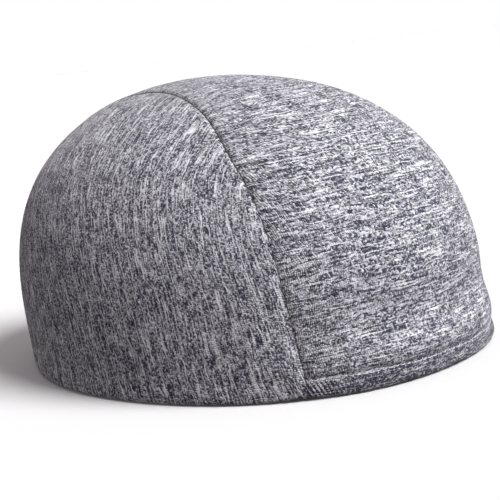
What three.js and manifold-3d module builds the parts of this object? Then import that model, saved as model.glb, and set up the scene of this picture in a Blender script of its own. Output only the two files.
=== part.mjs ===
// A close-fitting three-panel skull cap of grey jersey, worn under a helmet.
// Millimetres, Z up. The forehead faces -Y, the wearer's right is -X, and the hem lies on Z = 0.
// Bearings are turned from the forehead towards the wearer's left. Heights are shares of the crown.
import * as THREE from "three";
import { mergeVertices } from "three/addons/utils/BufferGeometryUtils.js";
import Module from "manifold-3d";

// Driving sizes
const HALF_WIDTH = 79; // middle of the head opening to its side edge
const FOREHEAD_REACH = 99; // middle of the head opening to its front edge
const NAPE_REACH = 99; // middle of the head opening to its back edge
const CROWN_HEIGHT = 111.7; // hem edge to the top of the crown
const CROWN_SET_BACK = 6; // how far the crown lies behind the middle of the opening
const CLOTH = 1.4; // one layer of jersey
const HEM_HEIGHT = 7.5; // how far the edge is turned up inside
const HEM_CLOTH = 1.2; // the turned-up layer, which is pulled a little thinner
const ALLOWANCE_WIDTH = 7; // overlocked cloth beside a seam, on the inside
const ALLOWANCE_CLOTH = 1.2;
const FOLD_DEPTH = 3; // how far the largest soft fold stands out
const GAP = 0.3; // between pieces that are sewn together

// Shape of the dome
const OPENING_POWER = 2.1; // 2 is an ellipse, more is squarer
const PROFILE_POWER = 3.2; // more keeps the walls upright for longer
const TUCK_HEIGHT = 0.6; // below this share of the height the wall draws in to the hem
const DIRECTIONS = {
  side: { reach: HALF_WIDTH, fullness: 0.52, tuck: 0.03 },
  forehead: { reach: FOREHEAD_REACH, fullness: 0.47, tuck: 0.05 },
  nape: { reach: NAPE_REACH, fullness: 0.44, tuck: 0.045 },
};

// Half the width of the centre panel, as a share of HALF_WIDTH.
// The turn is in degrees from the forehead hem over the crown to the nape hem.
const CENTRE_PANEL = [
  { turn: 0, half: 0.685 },
  { turn: 30, half: 0.72 },
  { turn: 57, half: 0.63 },
  { turn: 76, half: 0.455 },
  { turn: 95, half: 0.29 },
  { turn: 115, half: 0.25 },
  { turn: 145, half: 0.29 },
  { turn: 180, half: 0.36 },
];

// Soft folds and dents. Spread is in degrees, tall is a share of the height, out of FOLD_DEPTH.
const FOLDS = [
  { place: "hem flares left of the forehead", bearing: 42, height: 0.1, spread: 26, tall: 0.25, out: 0.6 },
  { place: "cloth breaks over the hem", bearing: 8, height: 0.125, spread: 38, tall: 0.055, out: 0.65 },
  { place: "hollow over the brow", bearing: -2, height: 0.235, spread: 34, tall: 0.08, out: -0.95 },
  { place: "hem draws in at the brow", bearing: 0, height: 0, spread: 46, tall: 0.065, out: -0.6 },
  { place: "hem flares by the right ear", bearing: -95, height: 0, spread: 38, tall: 0.1, out: 0.3 },
  { place: "edge stands out left of the forehead", bearing: 44, height: 0, spread: 32, tall: 0.07, out: 1.3 },
];

// Fineness of the meshes
const BEARING_STEPS = 60;
const HEIGHT_ROWS = [
  0, 0.04, 0.08, 0.125, 0.175, 0.235, 0.3, 0.38, 0.47, 0.56, 0.65, 0.74, 0.82, 0.885, 0.935, 0.972, 0.994,
];
const SEAM_STEPS = 44;

const { degToRad, clamp } = THREE.MathUtils;

const manifold = await Module();
manifold.setup();

function signedPower(value, power) {
  return Math.sign(value) * Math.abs(value) ** power;
}

// A smooth curve through one column of a table, at any value of its key column.
function readTable(rows, key, column, at) {
  const last = rows.length - 1;
  let low = 0;
  while (low < last - 1 && at > rows[low + 1][key]) low += 1;
  const slopeAt = (i) => {
    const before = rows[Math.max(i - 1, 0)];
    const after = rows[Math.min(i + 1, last)];
    return (after[column] - before[column]) / (after[key] - before[key]);
  };
  const span = rows[low + 1][key] - rows[low][key];
  const t = clamp((at - rows[low][key]) / span, 0, 1);
  const start = rows[low][column] * (1 + 2 * t) * (1 - t) ** 2;
  const end = rows[low + 1][column] * t ** 2 * (3 - 2 * t);
  const lean = slopeAt(low) * t * (1 - t) ** 2 - slopeAt(low + 1) * t ** 2 * (1 - t);
  return start + end + lean * span;
}

// How far the wall stands from the middle, at a height and in one direction.
function reachAt(direction, height, inset) {
  const dome = (1 - height ** PROFILE_POWER) ** direction.fullness;
  const low = Math.max(0, 1 - height / TUCK_HEIGHT) ** 2;
  const drawnIn = (1 - direction.tuck * low) / (1 - direction.tuck);
  return (direction.reach - inset) * dome * drawnIn;
}

// How far the soft folds push the wall out at a place.
function foldAt(bearing, height) {
  let push = 0;
  for (const fold of FOLDS) {
    const turned = THREE.MathUtils.euclideanModulo(bearing - fold.bearing + 180, 360) - 180;
    const aside = turned / fold.spread;
    const above = (height - fold.height) / fold.tall;
    push += FOLD_DEPTH * fold.out * Math.exp(-(aside ** 2) - above ** 2);
  }
  return push;
}

// A point of the cap, or of a like surface that lies inset further in.
function capPoint(bearing, height, inset) {
  const angle = degToRad(bearing);
  const power = 2 / (2 + (OPENING_POWER - 2) * (1 - height));
  const across = signedPower(Math.sin(angle), power);
  const along = signedPower(-Math.cos(angle), power);
  const end = along < 0 ? DIRECTIONS.forehead : DIRECTIONS.nape;
  const push = foldAt(bearing, height) * (1 - height);
  return new THREE.Vector3(
    reachAt(DIRECTIONS.side, height, inset) * across + push * Math.sin(angle),
    reachAt(end, height, inset) * along - push * Math.cos(angle) + CROWN_SET_BACK * height,
    (CROWN_HEIGHT - inset) * height,
  );
}

// A closed geometry from corner points and triangles.
function closedGeometry(points, triangles) {
  const geometry = new THREE.BufferGeometry();
  geometry.setAttribute("position", new THREE.Float32BufferAttribute(points.flatMap((p) => p.toArray()), 3));
  geometry.setIndex(triangles);
  return geometry;
}

// Triangles that join rows of points, where each row closes on itself.
function ringTriangles(rowCount, rowLength) {
  const triangles = [];
  for (let row = 0; row < rowCount - 1; row += 1) {
    for (let i = 0; i < rowLength; i += 1) {
      const low = row * rowLength + i;
      const lowNext = row * rowLength + ((i + 1) % rowLength);
      triangles.push(low, lowNext, lowNext + rowLength, low, lowNext + rowLength, low + rowLength);
    }
  }
  return triangles;
}

// One level row of points round the cap.
function rowOfPoints(height, inset) {
  const bearings = Array.from({ length: BEARING_STEPS }, (_, i) => (360 * i) / BEARING_STEPS);
  return bearings.map((bearing) => capPoint(bearing, height, inset));
}

// The whole cap as one solid block, lying inset inside its outer face and dropping below the hem.
function filledCap(inset, drop) {
  const rows = HEIGHT_ROWS.map((height) => rowOfPoints(height, inset));
  if (drop > 0) rows.unshift(rows[0].map((point) => point.clone().setZ(-drop)));
  const triangles = ringTriangles(rows.length, BEARING_STEPS);
  const points = rows.flat();
  const topRow = points.length - BEARING_STEPS;
  const crown = points.push(capPoint(0, 1, inset)) - 1;
  const middle = points.push(new THREE.Vector3(0, 0, -drop)) - 1;
  for (let i = 0; i < BEARING_STEPS; i += 1) {
    const next = (i + 1) % BEARING_STEPS;
    triangles.push(topRow + i, topRow + next, crown);
    triangles.push(next, i, middle);
  }
  return toSolid(closedGeometry(points, triangles));
}

function toSolid(geometry) {
  const merged = mergeVertices(geometry, 1e-4);
  const mesh = new manifold.Mesh({
    numProp: 3,
    vertProperties: merged.attributes.position.array,
    triVerts: new Uint32Array(merged.index.array),
  });
  const solid = new manifold.Manifold(mesh);
  if (solid.volume() < 0) throw new Error("a solid is inside out");
  return solid;
}

function toGeometry(solid) {
  const mesh = solid.getMesh();
  const geometry = new THREE.BufferGeometry();
  geometry.setAttribute("position", new THREE.BufferAttribute(mesh.vertProperties, 3));
  geometry.setIndex(new THREE.BufferAttribute(mesh.triVerts, 1));
  geometry.computeVertexNormals();
  return geometry;
}

// A fan that turns from below the forehead hem over the crown to below the nape hem.
// It holds the cloth between the two edges that halfWidths gives at each turn.
function seamFan(halfWidths) {
  const inner = HALF_WIDTH * 0.3;
  const outer = (FOREHEAD_REACH + NAPE_REACH) * 0.8;
  const points = [];
  for (let step = 0; step <= SEAM_STEPS; step += 1) {
    const turn = -12 + (204 * step) / SEAM_STEPS;
    const [low, high] = halfWidths(clamp(turn, 0, 180));
    const forward = -Math.cos(degToRad(turn));
    const up = Math.sin(degToRad(turn));
    for (const [x, reach] of [[low, inner], [low, outer], [high, outer], [high, inner]]) {
      points.push(new THREE.Vector3(x, CROWN_SET_BACK + forward * reach, up * reach));
    }
  }
  const triangles = ringTriangles(SEAM_STEPS + 1, 4);
  const end = points.length - 4;
  triangles.push(0, 2, 1, 0, 3, 2, end, end + 1, end + 2, end, end + 2, end + 3);
  return toSolid(closedGeometry(points, triangles));
}

function halfWidthAt(turn) {
  return HALF_WIDTH * readTable(CENTRE_PANEL, "turn", "half", turn);
}

// The part of a solid on the wearer's right (-1) or left (+1).
function oneSide(solid, side) {
  const normal = [side, 0, 0];
  return solid.trimByPlane(normal, 0);
}

// The largest body of a solid, without the slivers that a cut can leave.
function mainBody(solid) {
  const bodies = solid.decompose();
  bodies.sort((a, b) => b.volume() - a.volume());
  return bodies[0];
}

// The three panels are one dome of cloth, cut along the two seams.
function makePanels() {
  const shell = filledCap(0, 0).subtract(filledCap(CLOTH, CLOTH));
  const centre = seamFan((turn) => [-halfWidthAt(turn) + GAP / 2, halfWidthAt(turn) - GAP / 2]);
  const between = seamFan((turn) => [-halfWidthAt(turn) - GAP / 2, halfWidthAt(turn) + GAP / 2]);
  const sides = shell.subtract(between);
  return {
    centre_panel: mainBody(shell.intersect(centre)),
    side_panel_right: mainBody(oneSide(sides, -1)),
    side_panel_left: mainBody(oneSide(sides, 1)),
  };
}

// A layer of cloth that lies inside the panels, between two depths.
function innerLayer(cloth) {
  const outside = CLOTH + GAP;
  return filledCap(outside, 0).subtract(filledCap(outside + cloth, cloth));
}

// The edge of the cloth, turned up inside all round.
function makeHemTurnUp() {
  const top = [0, 0, -1];
  return mainBody(innerLayer(HEM_CLOTH).trimByPlane(top, -HEM_HEIGHT));
}

// The overlocked allowance of one seam, from the hem at the forehead to the hem at the nape.
function makeAllowance(side) {
  const band = seamFan((turn) => {
    const seam = side * halfWidthAt(turn);
    return [seam - ALLOWANCE_WIDTH / 2, seam + ALLOWANCE_WIDTH / 2];
  });
  const up = [0, 0, 1];
  return mainBody(innerLayer(ALLOWANCE_CLOTH).intersect(band).trimByPlane(up, HEM_HEIGHT + GAP));
}

const jersey = new THREE.MeshStandardMaterial({ color: 0x8f8f97, roughness: 0.95, metalness: 0 });
const jerseyInside = new THREE.MeshStandardMaterial({ color: 0x84848c, roughness: 0.95, metalness: 0 });
const overlock = new THREE.MeshStandardMaterial({ color: 0x4a4a46, roughness: 0.9, metalness: 0 });

const cap = new THREE.Group();

function add(name, solid, material) {
  const mesh = new THREE.Mesh(toGeometry(solid), material);
  mesh.name = name;
  cap.add(mesh);
}

for (const [name, solid] of Object.entries(makePanels())) add(name, solid, jersey);
add("hem_turn_up", makeHemTurnUp(), jerseyInside);
add("seam_right", makeAllowance(-1), overlock);
add("seam_left", makeAllowance(1), overlock);

// The middle of the cap's outline goes over the origin.
const bounds = new THREE.Box3().setFromObject(cap);
const middle = bounds.getCenter(new THREE.Vector3());
cap.position.set(-middle.x, -middle.y, -bounds.min.z);

export default cap;
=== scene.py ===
"""The visual model of a three-panel jersey skull cap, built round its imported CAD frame.

The forehead faces -Y, the wearer's right is -X, and the hem lies on Z = 0.
Shapes are worked out in millimetres and stretched to the frame's own box at the end.
Bearings are degrees from the forehead towards the wearer's left. Heights are shares of the crown.
"""

import math

import bpy
import numpy as np
from mathutils import Matrix, Vector


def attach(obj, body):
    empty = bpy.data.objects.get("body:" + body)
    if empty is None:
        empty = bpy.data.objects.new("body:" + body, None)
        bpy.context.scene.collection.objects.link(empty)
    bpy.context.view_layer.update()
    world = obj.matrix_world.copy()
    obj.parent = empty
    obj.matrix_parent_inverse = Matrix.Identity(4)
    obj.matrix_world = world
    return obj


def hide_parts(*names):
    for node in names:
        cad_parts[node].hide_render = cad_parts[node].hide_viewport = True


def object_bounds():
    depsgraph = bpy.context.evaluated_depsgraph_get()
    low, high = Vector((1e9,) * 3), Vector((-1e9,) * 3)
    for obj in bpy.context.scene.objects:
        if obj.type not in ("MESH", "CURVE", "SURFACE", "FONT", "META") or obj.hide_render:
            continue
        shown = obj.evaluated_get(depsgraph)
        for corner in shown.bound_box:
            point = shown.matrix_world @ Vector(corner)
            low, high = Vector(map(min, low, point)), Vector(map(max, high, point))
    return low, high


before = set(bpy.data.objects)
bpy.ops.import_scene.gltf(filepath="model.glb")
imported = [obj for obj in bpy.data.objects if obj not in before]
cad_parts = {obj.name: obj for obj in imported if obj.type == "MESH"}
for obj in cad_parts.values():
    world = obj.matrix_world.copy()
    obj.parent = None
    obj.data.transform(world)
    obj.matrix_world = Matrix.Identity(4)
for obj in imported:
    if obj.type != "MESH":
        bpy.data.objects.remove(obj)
cad_low, cad_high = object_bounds()

MM = 0.001

# Sizes of the cloth, in mm
HALF_WIDTH = 79.0
FOREHEAD_REACH = 99.0
NAPE_REACH = 99.0
CROWN_HEIGHT = 111.7
CROWN_SET_BACK = 6.0
CLOTH = 1.4
HEM_CLOTH = 1.2
HEM_HEIGHT = 7.5
FOLD_DEPTH = 3.0
ALLOWANCE_WIDTH = 7.0
ALLOWANCE_CLOTH = 1.2
SEAM_GAP = 0.3

# Shape of the dome
OPENING_POWER = 2.1
PROFILE_POWER = 3.2
TUCK_HEIGHT = 0.6
SIDE = {"reach": HALF_WIDTH, "fullness": 0.52, "tuck": 0.03}
FOREHEAD = {"reach": FOREHEAD_REACH, "fullness": 0.47, "tuck": 0.05}
NAPE = {"reach": NAPE_REACH, "fullness": 0.44, "tuck": 0.045}

# Half the width of the centre panel, as a share of HALF_WIDTH, by the turn over the crown
CENTRE_PANEL = {
    "turn": [0, 30, 57, 76, 95, 115, 145, 180],
    "half": [0.685, 0.72, 0.63, 0.455, 0.29, 0.25, 0.29, 0.36],
}

# Soft folds: bearing and spread in degrees, height and tall as shares, out as a share of FOLD_DEPTH
FOLDS = [
    {"bearing": 42, "height": 0.1, "spread": 26, "tall": 0.25, "out": 0.6},
    {"bearing": 8, "height": 0.125, "spread": 38, "tall": 0.055, "out": 0.65},
    {"bearing": -2, "height": 0.235, "spread": 34, "tall": 0.08, "out": -0.95},
    {"bearing": 0, "height": 0.0, "spread": 46, "tall": 0.065, "out": -0.6},
    {"bearing": -95, "height": 0.0, "spread": 38, "tall": 0.1, "out": 0.3},
    {"bearing": 44, "height": 0.0, "spread": 32, "tall": 0.07, "out": 1.3},
]

# How far the courses of the centre panel follow the level instead of the turn over the crown
GRAIN_LEVELLING = {
    "turn": [0, 30, 55, 75, 95, 120, 180],
    "share": [0.6, 0.65, 0.85, 0.55, 0.15, 0.0, 0.0],
}

# The studio, in metres and linear tones
STAGE_REACH = 9.0
FLOOR_TONE = (0.62, 0.62, 0.62)
WALL_TONE = (1.0, 1.0, 1.0)
WORLD_TINT = (1.0, 0.92, 0.95)
KEY_TINT = (0.985, 0.995, 1.0)
BRIGHTER_SIDE = (0.5, -0.3, 1.0)

# The knit, in mm, and its dye: tones from all dark to all light, and the shade painted into the colour
# between the legs
LEG_PITCH = 0.78
COURSE_PITCH = 0.62
TONE_LOW = 1.08
TONE_HIGH = 1.52
VALLEY_SHADE = 0.24

# Threads, in mm
SEAM_THREAD_RADIUS = 0.25
LOOP_THREAD_RADIUS = 0.3
HEM_THREAD_RADIUS = 0.22

# Fineness of the meshes, in mm
GRID_STEP = 1.15
FINE_STEP = 0.35
FINE_REACH = 3.2

# A distance in the edge map that is beyond the reach of every seam and hem effect, in mm
FAR_FROM_EDGES = 60.0

# Camera, from the photo's outline
CAMERA_AZIMUTH = -47.0
CAMERA_ELEVATION = 9.5
CAMERA_ROLL = -6.5
CAMERA_DISTANCE = 520.0
CAMERA_AIM_HEIGHT = 50.0
CAMERA_SHIFT = (4.4, -9.5)
FOCAL_PIXELS = 1274.0
PICTURE_PIXELS = 500
SENSOR_WIDTH = 36.0


# The dome


def reach_at(direction, height, inset=0.0):
    """How far the wall stands from the middle in one direction."""
    dome = np.maximum(1 - height**PROFILE_POWER, 0) ** direction["fullness"]
    low = np.maximum(0, 1 - height / TUCK_HEIGHT) ** 2
    drawn_in = (1 - direction["tuck"] * low) / (1 - direction["tuck"])
    return (direction["reach"] - inset) * dome * drawn_in


def opening_power(height):
    return 2 + (OPENING_POWER - 2) * (1 - height)


def fold_at(bearing, height):
    """How far the soft folds push the wall out."""
    push = np.zeros_like(height)
    for fold in FOLDS:
        aside = ((bearing - fold["bearing"] + 180) % 360 - 180) / fold["spread"]
        above = (height - fold["height"]) / fold["tall"]
        push += FOLD_DEPTH * fold["out"] * np.exp(-(aside**2) - above**2)
    return push * (1 - height)


def dome_point(bearing, height, inset=0.0):
    """Points of the wall, or of a like surface further in."""
    bearing, height = np.broadcast_arrays(np.asarray(bearing, float), np.asarray(height, float))
    angle = np.radians(bearing)
    power = 2 / opening_power(height)
    across = np.sign(np.sin(angle)) * np.abs(np.sin(angle)) ** power
    along = -np.sign(np.cos(angle)) * np.abs(np.cos(angle)) ** power
    end = np.where(along < 0, reach_at(FOREHEAD, height, inset), reach_at(NAPE, height, inset))
    push = fold_at(bearing, height)
    x = reach_at(SIDE, height, inset) * across + push * np.sin(angle)
    y = end * along - push * np.cos(angle) + CROWN_SET_BACK * height
    return np.stack([x, y, (CROWN_HEIGHT - inset) * height], -1)


def outside(point):
    """Above 0 outside the plain dome, below 0 inside it, with the bearing and height."""
    height = np.clip(point[..., 2] / CROWN_HEIGHT, 0, 1)
    side = np.maximum(reach_at(SIDE, height), 1e-6)
    back = point[..., 1] - CROWN_SET_BACK * height
    end = np.where(back < 0, reach_at(FOREHEAD, height), reach_at(NAPE, height))
    end = np.maximum(end, 1e-6)
    power = opening_power(height)
    across = np.abs(point[..., 0] / side) ** power
    along = np.abs(back / end) ** power
    over = np.maximum(point[..., 2] / CROWN_HEIGHT - 1, 0)
    sine = np.sign(point[..., 0]) * np.sqrt(across)
    cosine = -np.sign(back) * np.sqrt(along)
    return across + along - 1 + over * 100, np.degrees(np.arctan2(sine, cosine)), height


def on_dome(origin, direction):
    """Where rays from inside meet the dome, folds included."""
    near = np.zeros(np.broadcast_shapes(origin.shape, direction.shape)[:-1])
    far = near + 2 * FOREHEAD_REACH
    for _ in range(44):
        middle = (near + far) / 2
        beyond = outside(origin + direction * middle[..., None])[0] > 0
        far = np.where(beyond, middle, far)
        near = np.where(beyond, near, middle)
    _, bearing, height = outside(origin + direction * near[..., None])
    return dome_point(bearing, height), bearing, height


def smooth_column(keys, values, at):
    """A smooth curve through a table's rows."""
    keys, values = np.asarray(keys, float), np.asarray(values, float)
    slopes = np.empty_like(values)
    slopes[1:-1] = (values[2:] - values[:-2]) / (keys[2:] - keys[:-2])
    slopes[0] = (values[1] - values[0]) / (keys[1] - keys[0])
    slopes[-1] = (values[-1] - values[-2]) / (keys[-1] - keys[-2])
    low = np.clip(np.searchsorted(keys, at, side="right") - 1, 0, len(keys) - 2)
    span = keys[low + 1] - keys[low]
    t = np.clip((at - keys[low]) / span, 0, 1)
    start = values[low] * (1 + 2 * t) * (1 - t) ** 2
    end = values[low + 1] * t**2 * (3 - 2 * t)
    lean = slopes[low] * t * (1 - t) ** 2 - slopes[low + 1] * t**2 * (1 - t)
    return start + end + lean * span


def seam_half_width(turn):
    return HALF_WIDTH * smooth_column(CENTRE_PANEL["turn"], CENTRE_PANEL["half"], turn)


def turn_ray(turn):
    """The direction of a turn, in the upright plane through forehead and nape."""
    angle = np.radians(turn)
    return np.stack([np.zeros_like(angle), -np.cos(angle), np.sin(angle)], -1)


def panel_point(x, turn):
    """A point of the dome at a distance to the side and a turn over the crown."""
    x, turn = np.broadcast_arrays(np.asarray(x, float), np.asarray(turn, float))
    origin = np.stack([x, np.full_like(x, CROWN_SET_BACK), np.zeros_like(x)], -1)
    return on_dome(origin, turn_ray(turn))


def grid_normals(points):
    """Outward normals of a grid of points, whose rows run along and columns across."""
    along = np.gradient(points, axis=0)
    across = np.gradient(points, axis=1)
    normal = np.cross(along, across)
    size = np.linalg.norm(normal, axis=-1, keepdims=True)
    normal = normal / np.maximum(size, 1e-9)
    middle = np.array([0.0, CROWN_SET_BACK, CROWN_HEIGHT * 0.3])
    inward = np.sum(normal * (points - middle), -1, keepdims=True) < 0
    return np.where(inward, -normal, normal)


# Relief of the cloth


def seam_distance(points, turn):
    """How far points lie from the nearer seam, measured to the side."""
    return np.abs(points[..., 0]) - seam_half_width(np.clip(turn, 0, 180))


def turn_of(points):
    return np.degrees(np.arctan2(points[..., 2], CROWN_SET_BACK - points[..., 1]))


def over_crown(turn):
    """0 low on the cap and 1 over its crown, where the seams are pulled open."""
    return np.clip((np.minimum(turn, 180 - turn) - 38) / 30, 0, 1)


def seam_gap(turn):
    return SEAM_GAP * (0.15 + 0.85 * over_crown(turn))


def relief(points):
    """How far the cloth stands proud of the plain dome."""
    turn = turn_of(points)
    from_seam = seam_distance(points, turn)
    apart = np.abs(from_seam)
    x, y, z = points[..., 0], points[..., 1], points[..., 2]
    bearing = np.arctan2(x, -y)
    lift = -(0.3 + 0.25 * over_crown(turn)) * np.exp(-((apart / 0.75) ** 2))
    lift += 0.22 * np.exp(-(((apart - 2.2) / 1.3) ** 2))
    lift -= 0.7 * np.exp(-((apart / 5.0) ** 2) - ((z - 22) / 17) ** 2)

    # The hem's thread draws the cloth in, less on the side panels, and the cloth swells below it.
    drawn = 1 - 0.7 * np.clip(from_seam / 4 + 0.5, 0, 1)
    lift -= 0.55 * drawn * np.exp(-(((z - HEM_HEIGHT - 0.5) / 0.9) ** 2))
    lift += 0.25 * drawn * np.exp(-(((z - 3.6) / 2.4) ** 2))
    pucker = np.sin(bearing * 61 + 1.7 * np.sin(bearing * 13)) * np.sin(bearing * 17 + 0.6)
    lift += 0.22 * pucker * np.exp(-(((z - HEM_HEIGHT + 1) / 4.5) ** 2))
    slanted = np.sin(bearing * 150 + z * 0.9 * np.sign(x)) * np.exp(-((apart / 15) ** 2))
    lift += 0.2 * slanted * np.exp(-(((z - 3.6) / 2.6) ** 2))

    soft = np.sin(x / 17 + 0.6) * np.sin(y / 21 + z / 26 + 1.1)
    soft += 0.7 * np.sin(x / 11 - y / 13 + 2.0) * np.sin(z / 15 - 0.4)
    lift += 0.22 * soft
    return lift


def hem_raise(points):
    """How far the lower edge lifts off the table: most at the seams, and in slight waves."""
    apart = np.abs(seam_distance(points, turn_of(points)))
    bearing = np.arctan2(points[..., 0], -points[..., 1])
    waves = 0.5 + 0.5 * np.sin(bearing * 83 + 2.1 * np.sin(bearing * 9))
    lift = 0.7 * np.exp(-((apart / 8.0) ** 2)) + 0.25 * waves
    return lift * np.clip(1 - points[..., 2] / HEM_HEIGHT, 0, 1)


# Making meshes


def finish_mesh(name, vertices, faces, maps, material):
    """A smooth mesh object, moved into the frame. Pieces without an edge map count as far from a seam."""
    mesh = bpy.data.meshes.new(name)
    placed = (np.asarray(vertices) @ TO_FRAME[:3, :3].T) + TO_FRAME[:3, 3]
    mesh.from_pydata(placed.tolist(), [], [tuple(f) for f in faces])
    mesh.validate()
    corners = np.empty(len(mesh.loops), int)
    mesh.loops.foreach_get("vertex_index", corners)
    maps.setdefault("edge", np.full((len(placed), 2), FAR_FROM_EDGES))
    for map_name, places in maps.items():
        layer = mesh.uv_layers.new(name=map_name)
        layer.data.foreach_set("uv", np.asarray(places)[corners].astype(np.float32).ravel())
    mesh.polygons.foreach_set("use_smooth", [True] * len(mesh.polygons))
    mesh.materials.append(material)
    mesh.update()
    piece = bpy.data.objects.new(name, mesh)
    bpy.context.collection.objects.link(piece)
    return piece


def grid_faces(rows, columns, start=0, flip=False, closed=False):
    row = np.arange(rows - 1)[:, None]
    column = np.arange(columns if closed else columns - 1)[None, :]
    beside = (column + 1) % columns
    corners = [row * columns + column, row * columns + beside]
    corners += [(row + 1) * columns + beside, (row + 1) * columns + column]
    faces = np.stack(np.broadcast_arrays(*corners), -1).reshape(-1, 4) + start
    return faces[:, ::-1] if flip else faces


def border(rows, columns):
    """The outline of a grid's vertices, in order."""
    top = [(0, c) for c in range(columns)]
    right = [(r, columns - 1) for r in range(1, rows)]
    bottom = [(rows - 1, c) for c in range(columns - 2, -1, -1)]
    left = [(r, 0) for r in range(rows - 2, 0, -1)]
    return np.array([r * columns + c for r, c in top + right + bottom + left])


def cloth_panel(name, outer, inner, grain, material, edge=None):
    """A closed sheet between two grids of points, with a grain map and a flat map for baking."""
    rows, columns = outer.shape[:2]
    count = rows * columns
    edges_along = np.linalg.norm(np.diff(outer, axis=0), axis=-1)
    edges_across = np.linalg.norm(np.diff(outer, axis=1), axis=-1)
    facing = np.cross(outer[rows // 2 + 1, columns // 2] - outer[rows // 2, columns // 2],
                      outer[rows // 2, columns // 2 + 1] - outer[rows // 2, columns // 2])
    middle = np.array([0.0, CROWN_SET_BACK, CROWN_HEIGHT * 0.3])
    flip = np.dot(facing, outer[rows // 2, columns // 2] - middle) > 0
    faces = [grid_faces(rows, columns, 0, flip), grid_faces(rows, columns, count, not flip)]
    rim = border(rows, columns)
    after = np.roll(rim, -1)
    rim_faces = np.stack([rim, after, after + count, rim + count], -1)
    faces.append(rim_faces if flip else rim_faces[:, ::-1])
    tall = edges_along.sum(0).max()
    wide = edges_across.sum(1).max()
    u, v = np.meshgrid(np.linspace(0, 1, columns), np.linspace(0, 1, rows))
    scale = 0.98 / max(2 * wide + 4, tall)
    left = np.stack([u * wide * scale + 0.01, v * tall * scale + 0.01], -1).reshape(-1, 2)
    right = left + [(wide + 4) * scale, 0]
    maps = {
        "grain": np.concatenate([grain.reshape(-1, 2), grain.reshape(-1, 2) + [0.31, 0.17]]),
        "OFBake": np.concatenate([left, right]),
    }
    if edge is not None:
        maps["edge"] = np.concatenate([edge.reshape(-1, 2), np.full((count, 2), FAR_FROM_EDGES)])
    vertices = np.concatenate([outer.reshape(-1, 3), inner.reshape(-1, 3)])
    return finish_mesh(name, vertices, np.concatenate(faces), maps, material)


def running_length(points, axis):
    steps = np.linalg.norm(np.diff(points, axis=axis), axis=-1)
    total = np.cumsum(steps, axis=axis)
    start = np.zeros_like(np.take(total, [0], axis=axis))
    return np.concatenate([start, total], axis=axis)


def tube(name, path, radius, material, sides=6, closed=False):
    """A round thread along a path of points, with its length in the grain map."""
    path = np.asarray(path, float)
    count = len(path)
    if closed:
        tangent = np.roll(path, -1, 0) - np.roll(path, 1, 0)
    else:
        tangent = np.gradient(path, axis=0)
    tangent /= np.maximum(np.linalg.norm(tangent, axis=1, keepdims=True), 1e-9)
    middle = np.array([0.0, CROWN_SET_BACK, CROWN_HEIGHT * 0.2])
    outward = path - middle
    outward -= tangent * np.sum(outward * tangent, 1, keepdims=True)
    outward /= np.maximum(np.linalg.norm(outward, axis=1, keepdims=True), 1e-9)
    sideways = np.cross(tangent, outward)
    angles = np.linspace(0, 2 * math.pi, sides, endpoint=False)
    ring = np.cos(angles)[None, :, None] * outward[:, None]
    ring = ring + np.sin(angles)[None, :, None] * sideways[:, None]
    points = path[:, None] + radius * ring
    vertices = points.reshape(-1, 3)
    faces = [list(f) for f in grid_faces(count, sides, closed=True)]
    if closed:
        for side in range(sides):
            beside = (side + 1) % sides
            last = (count - 1) * sides
            faces.append([last + side, last + beside, beside, side])
    else:
        faces.append(list(range(sides))[::-1])
        faces.append([(count - 1) * sides + side for side in range(sides)])
    length = running_length(path, 0)
    grain = np.stack(np.broadcast_arrays(length[:, None], angles[None, :] * radius), -1)
    return finish_mesh(name, vertices, faces, {"grain": grain.reshape(-1, 2)}, material)


# Materials


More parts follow.
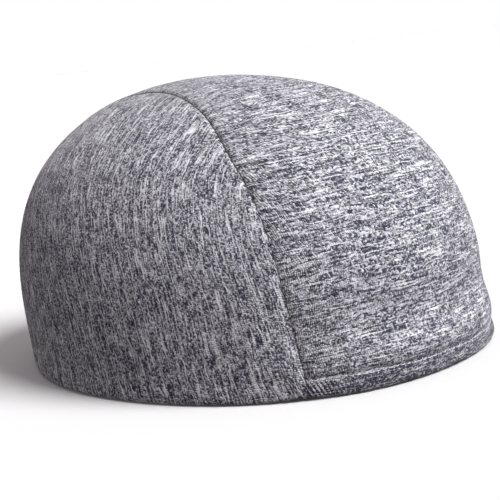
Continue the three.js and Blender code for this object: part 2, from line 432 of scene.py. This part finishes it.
class Nodes:
    """Short ways to add the nodes of one material."""

    def __init__(self, name):
        self.material = bpy.data.materials.new(name)
        self.material.use_nodes = True
        self.tree = self.material.node_tree
        self.shader = self.tree.nodes["Principled BSDF"]

    def put(self, socket, value):
        if isinstance(value, bpy.types.NodeSocket):
            self.tree.links.new(value, socket)
        elif value is not None:
            socket.default_value = value

    def maths(self, operation, a, b=None, c=None, clamp=False):
        node = self.tree.nodes.new("ShaderNodeMath")
        node.operation = operation
        node.use_clamp = clamp
        for socket, value in zip(node.inputs, (a, b, c)):
            self.put(socket, value)
        return node.outputs[0]

    def pair(self, x, y, z=0.0):
        node = self.tree.nodes.new("ShaderNodeCombineXYZ")
        for socket, value in zip(node.inputs, (x, y, z)):
            self.put(socket, value)
        return node.outputs[0]

    def noise(self, vector, detail=0.0, rough=0.5):
        node = self.tree.nodes.new("ShaderNodeTexNoise")
        node.noise_dimensions = "3D"
        self.put(node.inputs["Vector"], vector)
        node.inputs["Scale"].default_value = 1.0
        node.inputs["Detail"].default_value = detail
        node.inputs["Roughness"].default_value = rough
        return node.outputs["Fac"]

    def speckle(self, vector):
        node = self.tree.nodes.new("ShaderNodeTexWhiteNoise")
        node.noise_dimensions = "3D"
        self.put(node.inputs["Vector"], vector)
        return node.outputs["Value"]

    def flat_map(self, name):
        node = self.tree.nodes.new("ShaderNodeUVMap")
        node.uv_map = name
        split = self.tree.nodes.new("ShaderNodeSeparateXYZ")
        self.tree.links.new(node.outputs[0], split.inputs[0])
        return split.outputs[0], split.outputs[1]

    def object_place(self, scale):
        node = self.tree.nodes.new("ShaderNodeTexCoord")
        grow = self.tree.nodes.new("ShaderNodeVectorMath")
        grow.operation = "SCALE"
        grow.inputs["Scale"].default_value = scale
        self.tree.links.new(node.outputs["Object"], grow.inputs[0])
        return grow.outputs[0]

    def spread(self, value, low, high):
        """0 at the low value and below, 1 at the high value and above."""
        node = self.tree.nodes.new("ShaderNodeMapRange")
        self.put(node.inputs["Value"], value)
        node.inputs["From Min"].default_value = low
        node.inputs["From Max"].default_value = high
        return node.outputs["Result"]

    def blend(self, share, a, b, kind="MIX"):
        node = self.tree.nodes.new("ShaderNodeMix")
        node.data_type = "RGBA"
        node.blend_type = kind
        self.put(node.inputs["Factor"], share)
        self.put(node.inputs["A"], a)
        self.put(node.inputs["B"], b)
        return node.outputs["Result"]

    def bump(self, height, distance, strength=1.0):
        node = self.tree.nodes.new("ShaderNodeBump")
        node.inputs["Distance"].default_value = distance
        node.inputs["Strength"].default_value = strength
        self.put(node.inputs["Height"], height)
        self.tree.links.new(node.outputs["Normal"], self.shader.inputs["Normal"])


def rgba(red, green, blue):
    """A linear colour from the 0 to 255 of a picture."""
    def linear(value):
        share = value / 255
        return share / 12.92 if share <= 0.04045 else ((share + 0.055) / 1.055) ** 2.4

    return (linear(red), linear(green), linear(blue), 1.0)


# Yarns of the cloth's face and back
LIGHT_YARN = rgba(213, 213, 218)
DARK_YARN = rgba(56, 56, 73)
LIGHT_INSIDE = rgba(222, 221, 228)
DARK_INSIDE = rgba(92, 94, 108)


def jersey(name, light, dark, dye_shift=0.0, long_streaks=0.3, seam_valley_shade=0.15, painted_hem_shade=False):
    """Heathered single jersey. In the grain map X runs along a yarn and Y from course to course.

    The seam valley shade is how much deeper the painted shade between the legs is beside a seam, where
    the cloth is drawn in; the dye there is also lightened a little to make up for it. The painted hem
    shade darkens the cloth below the hem's thread.
    """
    n = Nodes(name)
    along, across = n.flat_map("grain")
    from_seam, level = n.flat_map("edge")

    def grained(length, width, seed, detail=0.0, rough=0.5):
        """Noise in patches of a length along the yarn and a width across it, in mm."""
        x = n.maths("DIVIDE", along, length)
        y = n.maths("DIVIDE", across, width)
        place = n.pair(x, y, seed + dye_shift)
        return n.noise(place, detail=detail, rough=rough)

    # The yarn wanders a little, so legs and courses aren't ruled.
    drift = grained(3.1, 2.3, 4.0)
    along = n.maths("MULTIPLY_ADD", n.maths("SUBTRACT", drift, 0.5), 1.6, along)
    sway = grained(5.3, 1.9, 9.0)
    across = n.maths("MULTIPLY_ADD", n.maths("SUBTRACT", sway, 0.5), 1.3, across)

    # Each loop has two legs that lean towards each other.
    leg = n.maths("DIVIDE", along, LEG_PITCH)
    in_leg = n.maths("FRACT", leg)
    leg_number = n.maths("FLOOR", leg)
    in_loop = n.maths("FRACT", n.maths("MULTIPLY", leg, 0.5))
    from_middle = n.maths("MULTIPLY", n.maths("ABSOLUTE", n.maths("SUBTRACT", in_loop, 0.5)), 2.0)
    slanted = n.maths("MULTIPLY_ADD", from_middle, 0.55, n.maths("DIVIDE", across, COURSE_PITCH))
    row = n.maths("FLOOR", slanted)
    in_row = n.maths("FRACT", slanted)

    # Light and dark filaments run along the yarn, so they show as thin streaks with a finer mottle.
    def filaments(length, width, seed, detail=0.0):
        return grained(length, width, seed, detail, rough=0.6)

    thin = n.maths("MULTIPLY", n.maths("SUBTRACT", filaments(16.0, 0.62, 3.0), 0.58), 6.0, clamp=True)
    fleck = n.speckle(n.pair(leg_number, row, 1.0 + dye_shift))
    tone = n.maths("MULTIPLY", filaments(1.0, 0.65, 0.0, 2.0), 1.1)
    tone = n.maths("MULTIPLY_ADD", filaments(7.0, 0.65, 7.0, 1.0), 0.65, tone)
    tone = n.maths("MULTIPLY_ADD", filaments(12.0, 3.0, 5.0, 1.0), 0.3, tone)
    tone = n.maths("MULTIPLY_ADD", thin, long_streaks, tone)
    tone = n.maths("MULTIPLY_ADD", fleck, 0.36, tone)
    aside = n.maths("DIVIDE", from_seam, 11.0)
    near = n.maths("EXPONENT", n.maths("MULTIPLY", n.maths("MULTIPLY", aside, aside), -1.0))
    # Beside a seam the dye is lightened a little, to make up for the deeper painted shade between the
    # legs there.
    tone = n.maths("MULTIPLY_ADD", near, seam_valley_shade * 0.1, tone)
    if painted_hem_shade:
        # Painted shade: the cloth drawn in below the hem's thread faces downward, so its tone is darkened
        # there, with dark slanted lines beside the seam painted as the shade of its puckers.
        hem_shade_mask = n.maths("DIVIDE", n.maths("SUBTRACT", HEM_HEIGHT, level), 1.5, clamp=True)
        pucker_shade_lines = n.maths("SINE", n.maths("MULTIPLY_ADD", level, 2.0, n.maths("MULTIPLY", from_seam, 5.4)))
        pucker_shade_lines = n.maths("MULTIPLY", pucker_shade_lines, n.maths("MULTIPLY", near, near))
        hem_shade_tone = n.maths("MULTIPLY", hem_shade_mask, n.maths("MULTIPLY_ADD", pucker_shade_lines, -0.32, -0.08))
        tone = n.maths("ADD", tone, hem_shade_tone)
    colour = n.blend(n.spread(tone, TONE_LOW, TONE_HIGH), dark, light)

    # Painted shade: yarns are round, so the colour is darkened in the valley beside each course and each
    # leg of a loop, more in some patches than others. The same yarn height also drives the bump.
    hump = n.maths("POWER", n.maths("SINE", n.maths("MULTIPLY", in_row, math.pi)), 0.35)
    ridge = n.maths("POWER", n.maths("SINE", n.maths("MULTIPLY", in_leg, math.pi)), 1.1)
    yarn_height = n.maths("MULTIPLY", hump, ridge)
    depth = grained(4.0, 3.0, 2.0)
    depth = n.maths("MULTIPLY_ADD", n.maths("SUBTRACT", depth, 0.5), 2.0, VALLEY_SHADE)
    # Beside a seam the painted shade between the legs is deeper.
    depth = n.maths("MULTIPLY_ADD", near, seam_valley_shade, depth, clamp=True)
    painted_valley_shade = n.maths("SUBTRACT", 1.0, n.maths("MULTIPLY", n.maths("SUBTRACT", 1.0, yarn_height), depth))
    colour = n.blend(1.0, colour, n.pair(painted_valley_shade, painted_valley_shade, painted_valley_shade), "MULTIPLY")
    n.put(n.shader.inputs["Base Color"], colour)
    n.shader.inputs["Roughness"].default_value = 0.9
    n.shader.inputs["Specular IOR Level"].default_value = 0.2
    n.shader.inputs["Sheen Weight"].default_value = 0.1
    n.shader.inputs["Sheen Roughness"].default_value = 0.5
    n.bump(yarn_height, 0.2 * MM, 0.5)
    return n.material


def thread(name, colour, dark):
    """Twisted sewing thread."""
    n = Nodes(name)
    along, across = n.flat_map("grain")
    twist = n.maths("MULTIPLY_ADD", across, 5.0, n.maths("MULTIPLY", along, 9.0))
    # Painted shade: each ply is darkened towards the groove beside it, mixed with a random fibre tone;
    # the dark colour is what the grooves and the darker fibres are painted. The same twist also drives
    # the bump.
    ply_relief_and_shade = n.maths("MULTIPLY_ADD", n.maths("SINE", twist), 0.5, 0.5)
    fibre = n.noise(n.object_place(4000.0), detail=2.0)
    share = n.maths("MULTIPLY_ADD", fibre, 0.5, n.maths("MULTIPLY", ply_relief_and_shade, 0.5), clamp=True)
    n.put(n.shader.inputs["Base Color"], n.blend(share, dark, colour))
    n.shader.inputs["Roughness"].default_value = 0.7
    n.shader.inputs["Sheen Weight"].default_value = 0.1
    n.bump(ply_relief_and_shade, 0.08 * MM, 0.7)
    return n.material


# The panels


def to_own_box():
    """A matrix that puts the mm model over the origin and stretches it to the frame's box."""
    bearing, height = np.meshgrid(np.linspace(0, 360, 361), np.linspace(0, 1, 101))
    points = dome_point(bearing, height).reshape(-1, 3)
    low, high = points.min(0), points.max(0)
    matrix = np.eye(4)
    for axis in range(3):
        size = cad_high[axis] - cad_low[axis]
        scale = size / (high[axis] - low[axis])
        matrix[axis, axis] = scale
        matrix[axis, 3] = cad_low[axis] - low[axis] * scale
    return matrix


def rounded_hem(outer, inward):
    """Rolls the lowest rows of a panel inward, as folded cloth does."""
    radius = CLOTH + SEAM_GAP / 2
    z = outer[..., 2]
    inside_round = z < radius
    angle = np.arccos(np.clip(1 - z / radius, -1, 1))
    draw = np.where(inside_round, radius * (1 - np.sin(angle)), 0)
    return outer + inward * draw[..., None]


def graded(start, stop, step, fine, reach):
    """Places from start to stop, closer together near both ends."""
    total = stop - start
    near = np.arange(0, reach, fine)
    count = max(2, int(round((total - 2 * reach) / step)) + 1)
    middle = np.linspace(reach, total - reach, count)
    return start + np.concatenate([near, middle, total - near[::-1]])


def horizontal_inward(points):
    """Level directions from points towards the middle of the opening."""
    flat = np.stack([-points[..., 0] / HALF_WIDTH**2, -points[..., 1] / FOREHEAD_REACH**2], -1)
    flat /= np.maximum(np.linalg.norm(flat, axis=-1, keepdims=True), 1e-9)
    return np.concatenate([flat, np.zeros_like(flat[..., :1])], -1)


def dressed(points, normal):
    """The outer and inner faces of a panel whose plain outer face is given."""
    fade = np.clip(points[..., 2] / 3.0, 0, 1)[..., None]
    inward = horizontal_inward(points)
    lifted = points + normal * relief(points)[..., None] * (0.35 + 0.65 * fade)
    above_table = np.concatenate([lifted[..., :2], np.maximum(lifted[..., 2:], 0)], -1)
    outer = rounded_hem(above_table, inward)
    outer[..., 2] = np.where(points[..., 2] < 1e-3, 0, outer[..., 2])
    deeper = points - normal * CLOTH
    level = points + inward * CLOTH
    inner = deeper * fade + level * (1 - fade)
    inner[..., 2] = np.where(points[..., 2] < 1e-3, 0, np.maximum(inner[..., 2], 0))
    inner = inner + normal * np.minimum(relief(points), 0)[..., None] * fade * 0.6
    outer[..., 2] += hem_raise(points)
    inner[..., 2] += hem_raise(points)
    return outer, inner


def edge_map(points):
    """How far points lie from the nearer seam and from the hem."""
    apart = np.abs(seam_distance(points, turn_of(points)))
    return np.stack([apart, points[..., 2]], -1)


def centre_panel(material):
    half_length = 185.0
    turn = graded(0.0, 180.0, 180.0 * GRID_STEP / (2 * half_length), 0.28, 6.0)
    across = graded(-1.0, 1.0, GRID_STEP / 50, FINE_STEP / 50, FINE_REACH / 50)
    half = seam_half_width(turn) - seam_gap(turn) / 2
    x = half[:, None] * across[None, :]
    points, _, _ = panel_point(x, turn[:, None] + np.zeros_like(x))
    normal = grid_normals(points)
    outer, inner = dressed(points, normal)

    middle = points.shape[1] // 2
    midline = points[:, middle]
    length = running_length(midline, 0)
    along = running_length(points, 1)
    along = along - along[:, middle : middle + 1]
    top = int(np.argmax(midline[:, 2]))
    level = np.interp(points[..., 2], midline[: top + 1, 2], length[: top + 1])
    weight = smooth_column(GRAIN_LEVELLING["turn"], GRAIN_LEVELLING["share"], turn)[:, None]
    course = (1 - weight) * length[:, None] + weight * level
    grain = np.stack([along, course], -1)
    return cloth_panel("centre_panel_cloth", outer, inner, grain, material, edge_map(points))


def grain_lean(z):
    """How far the courses of a side panel have leaned back by a height."""
    share = np.clip((z - 30) / 50, 0, 1)
    return 0.17 * np.minimum(z, 80) + 7 * share**2 * (3 - 2 * share)


def side_panel(name, side, material):
    columns = 200
    rows = graded(0.0, 1.0, GRID_STEP / 115, FINE_STEP / 115, FINE_REACH / 115)
    ease = np.linspace(0, 1, columns)
    turn = 180 * ease
    half = seam_half_width(turn) + seam_gap(turn) / 2
    seam, seam_bearing, _ = panel_point(side * half, turn)
    first, last = seam_bearing[0], seam_bearing[-1]
    if side < 0 and last > 0:
        last -= 360
    if side > 0 and last < 0:
        last += 360
    hem = dome_point(np.linspace(first, last, columns), 0.0)
    core = np.array([0.0, CROWN_SET_BACK, CROWN_HEIGHT * 0.25])
    lower = hem.copy()
    lower[:, 2] = 0
    line = lower[None] * (1 - rows[:, None, None]) + seam[None] * rows[:, None, None]
    start = np.broadcast_to(core, line.shape).copy()
    start[..., 2] = np.minimum(core[2], line[..., 2])
    start[..., 1] = CROWN_SET_BACK + (line[..., 1] - CROWN_SET_BACK) * 0.5
    aim = line - start
    aim /= np.maximum(np.linalg.norm(aim, axis=-1, keepdims=True), 1e-9)
    points, _, _ = on_dome(start, aim)
    points[0] = hem
    points[-1] = seam
    normal = grid_normals(points)
    outer, inner = dressed(points, normal)

    edge_y = np.linspace(-FOREHEAD_REACH, NAPE_REACH, 400)
    edge_x = HALF_WIDTH * np.maximum(1 - (np.abs(edge_y) / FOREHEAD_REACH) ** 2.1, 0) ** (1 / 2.1)
    edge = np.stack([edge_x, edge_y], -1)
    edge_length = running_length(edge, 0)
    label = np.interp(points[..., 1] - grain_lean(points[..., 2]), edge_y, edge_length)
    over = np.arctan2(points[..., 2], np.abs(points[..., 0]))
    arc = np.hypot(points[..., 0], points[..., 2]) * over * 1.02
    grain = np.stack([arc, label], -1)
    return cloth_panel(name, outer, inner, grain, material, edge_map(points))


TO_FRAME = to_own_box()


def hem_turn_up(material):
    """The turned-up layer of the hem, inside the panels."""
    columns = 360
    bearing = np.linspace(0, 360, columns, endpoint=False)
    outside_inset = CLOTH + SEAM_GAP / 2
    heights = np.concatenate([np.linspace(0, CLOTH, 6), np.linspace(2.2, HEM_HEIGHT, 8)])
    rings_out, rings_in = [], []
    for z in heights:
        plain = dome_point(bearing, np.full(columns, z / CROWN_HEIGHT))
        inward = horizontal_inward(plain)
        radius = HEM_CLOTH + SEAM_GAP / 2
        angle = math.acos(min(max(1 - z / radius, -1), 1))
        draw = radius * (1 - math.sin(angle)) if z < radius else 0
        wave = 0.12 * np.sin(np.radians(bearing) * 70) * (z / HEM_HEIGHT) ** 2
        plain[:, 2] += hem_raise(plain)
        rings_out.append(plain + inward * (outside_inset + 0.05))
        rings_in.append(plain + inward * (outside_inset + HEM_CLOTH + wave - draw)[:, None])
    rows = len(heights)
    section = np.stack(rings_in + rings_out[::-1])
    vertices = section.reshape(-1, 3)
    count = len(section)
    faces = [list(f) for f in grid_faces(count, columns, closed=True)]
    for column in range(columns):
        beside = (column + 1) % columns
        last = (count - 1) * columns
        faces.append([last + column, last + beside, beside, column])
    ring = np.linalg.norm(np.diff(section[rows // 2], axis=0), axis=1).mean() * np.arange(columns)
    tall = np.concatenate([heights, heights[::-1] + 9])
    grain = np.stack(np.broadcast_arrays(ring[None, :], tall[:, None]), -1)
    return finish_mesh("hem_turn_up_cloth", vertices, faces, {"grain": grain.reshape(-1, 2)}, material)


def seam_allowance(name, side, material):
    """The overlocked edges beside one seam, on the inside."""
    turn = np.linspace(4.5, 176.0, 240)
    half = seam_half_width(turn)
    offsets = np.array([-1.0, -0.92, -0.5, 0, 0.5, 0.92, 1.0]) * ALLOWANCE_WIDTH / 2
    x = side * (half[:, None] + offsets[None, :])
    points, _, _ = panel_point(x, turn[:, None] + np.zeros_like(x))
    normal = grid_normals(points)
    deep = CLOTH + SEAM_GAP
    crown = np.array([0.35, 0.75, 0.95, 1.0, 0.95, 0.75, 0.35])
    thick = ALLOWANCE_CLOTH * crown
    upper = points - normal * deep
    lower = points - normal * (deep + thick[None, :, None])
    length = running_length(points[:, 3], 0)
    grain = np.stack(np.broadcast_arrays(offsets[None, :], length[:, None]), -1)
    return cloth_panel(name, upper, lower, grain, material)


def seam_path(side, depth, turns, aside=0.0):
    x = side * (seam_half_width(turns) + aside)
    points, _, _ = panel_point(x, turns)
    core = np.array([0.0, CROWN_SET_BACK, CROWN_HEIGHT * 0.3])
    nearby, _, _ = panel_point(x + 0.5, turns)
    ahead, _, _ = panel_point(x, np.clip(turns + 0.3, 0, 180))
    normal = np.cross(nearby - points, ahead - points)
    normal /= np.maximum(np.linalg.norm(normal, axis=1, keepdims=True), 1e-9)
    normal *= np.sign(np.sum(normal * (points - core), 1))[:, None]
    return points - normal * np.asarray(depth).reshape(-1, 1)


def seam_thread(name, side, material):
    """The dark thread that shows at the bottom of the groove between two panels."""
    turns = np.linspace(0.8, 179.2, 1400)
    beat = np.sin(np.linspace(0, 2 * math.pi * 130, len(turns)))
    crest = np.exp(-(((turns - 96) / 22) ** 4))
    depth = 1.1 - 0.48 * over_crown(turns) - 0.28 * crest + 0.14 * beat
    aside = 0.1 * np.cos(np.linspace(0, 2 * math.pi * 65, len(turns)))
    return tube(name, seam_path(side, depth, turns, aside), SEAM_THREAD_RADIUS, material)


def overlock_loops(name, side, material):
    """The zigzag of thread that wraps the free edges of an allowance."""
    cycles = 120
    turns = np.linspace(5.0, 175.5, cycles * 8)
    phase = np.linspace(0, 2 * math.pi * cycles, len(turns))
    aside = np.cos(phase) * ALLOWANCE_WIDTH / 2 * 0.97
    depth = CLOTH + SEAM_GAP + ALLOWANCE_CLOTH * (0.62 + 0.5 * np.abs(np.sin(phase)))
    path = seam_path(side, depth, turns, aside)
    return tube(name, path, LOOP_THREAD_RADIUS, material, sides=5)


def hem_stitches(material):
    """Needle thread round the hem: short stitches that sag and dip into the cloth between them."""
    stitches = 210
    each = 8
    bearing = np.linspace(0, 360, stitches * each, endpoint=False)
    along = (np.arange(stitches * each) % each) / each
    bow = np.sin(along * math.pi)
    sag = 0.4 * bow + 0.2 * np.sin(np.radians(bearing) * 23)
    plain = dome_point(bearing, (HEM_HEIGHT + 0.2 - sag) / CROWN_HEIGHT)
    on_side = np.clip(seam_distance(plain, turn_of(plain)) / 4 + 0.5, 0, 1)
    lift = 0.5 * bow**0.6 - 0.34 - 0.5 * on_side + relief(plain)
    outward = -horizontal_inward(plain)
    path = plain + outward * lift[:, None]
    return tube("hem_needle_thread", path, HEM_THREAD_RADIUS, material, sides=5, closed=True)


# The camera and the studio


def in_frame(point):
    return Vector(TO_FRAME[:3, :3] @ np.asarray(point, float) + TO_FRAME[:3, 3])


def way_to(azimuth, elevation):
    """The direction of an azimuth and an elevation in degrees. Azimuth 0 is the forehead's."""
    a, e = math.radians(azimuth), math.radians(elevation)
    return Vector((math.sin(a) * math.cos(e), -math.cos(a) * math.cos(e), math.sin(e)))


def add_camera():
    azimuth, roll = math.radians(CAMERA_AZIMUTH), math.radians(CAMERA_ROLL)
    back = way_to(CAMERA_AZIMUTH, CAMERA_ELEVATION)
    level = Vector((math.cos(azimuth), math.sin(azimuth), 0))
    upright = back.cross(level)
    right = level * math.cos(roll) + upright * math.sin(roll)
    up = upright * math.cos(roll) - level * math.sin(roll)
    aim = Vector((0, 0, CAMERA_AIM_HEIGHT)) + right * CAMERA_SHIFT[0] + up * CAMERA_SHIFT[1]
    place = in_frame(aim + back * CAMERA_DISTANCE)
    data = bpy.data.cameras.new("camera")
    data.sensor_width = SENSOR_WIDTH
    data.lens = FOCAL_PIXELS / PICTURE_PIXELS * SENSOR_WIDTH
    data.clip_start = 0.01
    camera = bpy.data.objects.new("camera", data)
    turned = Matrix((right, up, back)).transposed().to_4x4()
    camera.matrix_world = Matrix.Translation(place) @ turned
    bpy.context.collection.objects.link(camera)
    bpy.context.scene.camera = camera


def add_key_light(azimuth, elevation, spread, strength, colour):
    """A wide soft light, with its spread in degrees."""
    data = bpy.data.lights.new("key", "SUN")
    data.angle = math.radians(spread)
    data.energy = strength
    data.color = colour
    light = bpy.data.objects.new("key", data)
    way = way_to(azimuth, elevation)
    light.location = way
    light.rotation_euler = way.to_track_quat("Z", "Y").to_euler()
    bpy.context.collection.objects.link(light)


def add_stage_piece(name, vertices, faces, material):
    """Part of the studio. It shows, and takes shadows, but throws no light back on the cap."""
    mesh = bpy.data.meshes.new(name)
    mesh.from_pydata(vertices, [], faces)
    mesh.materials.append(material)
    piece = bpy.data.objects.new(name, mesh)
    piece.visible_diffuse = False
    piece.visible_glossy = False
    bpy.context.collection.objects.link(piece)
    return piece


def add_floor():
    n = Nodes("floor")
    n.shader.inputs["Base Color"].default_value = (*FLOOR_TONE, 1)
    n.shader.inputs["Roughness"].default_value = 0.95
    n.shader.inputs["Specular IOR Level"].default_value = 0.0
    half = STAGE_REACH * 1.5
    level = cad_low[2] - 0.0002
    corners = [(-half, -half, level), (half, -half, level), (half, half, level), (-half, half, level)]
    add_stage_piece("floor", corners, [(0, 1, 2, 3)], n.material)


def add_wall():
    """A round wall far off, in the tone of the lit floor, so that no line shows between them."""
    material = bpy.data.materials.new("wall")
    material.use_nodes = True
    tree = material.node_tree
    tree.nodes.remove(tree.nodes["Principled BSDF"])
    glow = tree.nodes.new("ShaderNodeEmission")
    glow.inputs["Color"].default_value = (*WALL_TONE, 1)
    tree.links.new(glow.outputs[0], tree.nodes["Material Output"].inputs["Surface"])
    sides = 96
    turns = [2 * math.pi * side / sides for side in range(sides)]
    foot = [(STAGE_REACH * math.cos(t), STAGE_REACH * math.sin(t), -1.0) for t in turns]
    head = [(x, y, STAGE_REACH) for x, y, _ in foot]
    faces = [(i, (i + 1) % sides, sides + (i + 1) % sides, sides + i) for i in range(sides)]
    wall = add_stage_piece("wall", foot + head, faces, material)
    wall.visible_shadow = False


def add_world(low, high, colour, lean):
    """Soft light from all round, stronger from above and from the side that the lean points to."""
    world = bpy.data.worlds.new("studio")
    world.use_nodes = True
    tree = world.node_tree
    background = tree.nodes["Background"]
    background.inputs["Color"].default_value = (*colour, 1)
    way = tree.nodes.new("ShaderNodeTexCoord")
    towards = tree.nodes.new("ShaderNodeVectorMath")
    towards.operation = "DOT_PRODUCT"
    towards.inputs[1].default_value = Vector(lean).normalized()
    share = tree.nodes.new("ShaderNodeMapRange")
    share.inputs["From Min"].default_value = -0.6
    share.inputs["From Max"].default_value = 0.6
    share.inputs["To Min"].default_value = low
    share.inputs["To Max"].default_value = high
    tree.links.new(way.outputs["Generated"], towards.inputs[0])
    tree.links.new(towards.outputs["Value"], share.inputs["Value"])
    tree.links.new(share.outputs["Result"], background.inputs["Strength"])
    bpy.context.scene.world = world


add_camera()
add_floor()
add_wall()
add_world(low=0.23, high=0.56, colour=WORLD_TINT, lean=BRIGHTER_SIDE)
add_key_light(azimuth=12, elevation=47, spread=32, strength=5.15, colour=KEY_TINT)
bpy.context.scene.view_settings.view_transform = "Standard"

# The cap

cloth = jersey("jersey_centre", LIGHT_YARN, DARK_YARN, seam_valley_shade=0.42, painted_hem_shade=True)
side_cloth = jersey("jersey_side", LIGHT_YARN, DARK_YARN, long_streaks=0.4)
cloth_inside = jersey("jersey_inside", LIGHT_INSIDE, DARK_INSIDE, 3.0)
dark_thread = thread("seam_thread", rgba(56, 56, 50), rgba(22, 22, 20))
loop_thread = thread("overlock", rgba(104, 104, 98), rgba(44, 44, 42))
grey_thread = thread("hem_thread", rgba(214, 214, 220), rgba(130, 130, 142))

centre = centre_panel(cloth)
right_side = side_panel("side_panel_right_cloth", -1, side_cloth)
left_side = side_panel("side_panel_left_cloth", 1, side_cloth)
hem = hem_turn_up(cloth_inside)
pieces = [
    (centre, "centre_panel", "jersey"),
    (right_side, "side_panel_right", "jersey"),
    (left_side, "side_panel_left", "jersey"),
    (hem, "hem_turn_up", "jersey_inside"),
    (seam_allowance("seam_right_allowance", -1, cloth_inside), "seam_right", "overlock"),
    (seam_allowance("seam_left_allowance", 1, cloth_inside), "seam_left", "overlock"),
    (seam_thread("seam_right_thread", -1, dark_thread), None, "overlock"),
    (seam_thread("seam_left_thread", 1, dark_thread), None, "overlock"),
    (overlock_loops("seam_right_overlock", -1, loop_thread), None, "overlock"),
    (overlock_loops("seam_left_overlock", 1, loop_thread), None, "overlock"),
    (hem_stitches(grey_thread), None, "jersey_inside"),
]
for piece, node, slot in pieces:
    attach(piece, "root")
    if node:
        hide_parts(node)
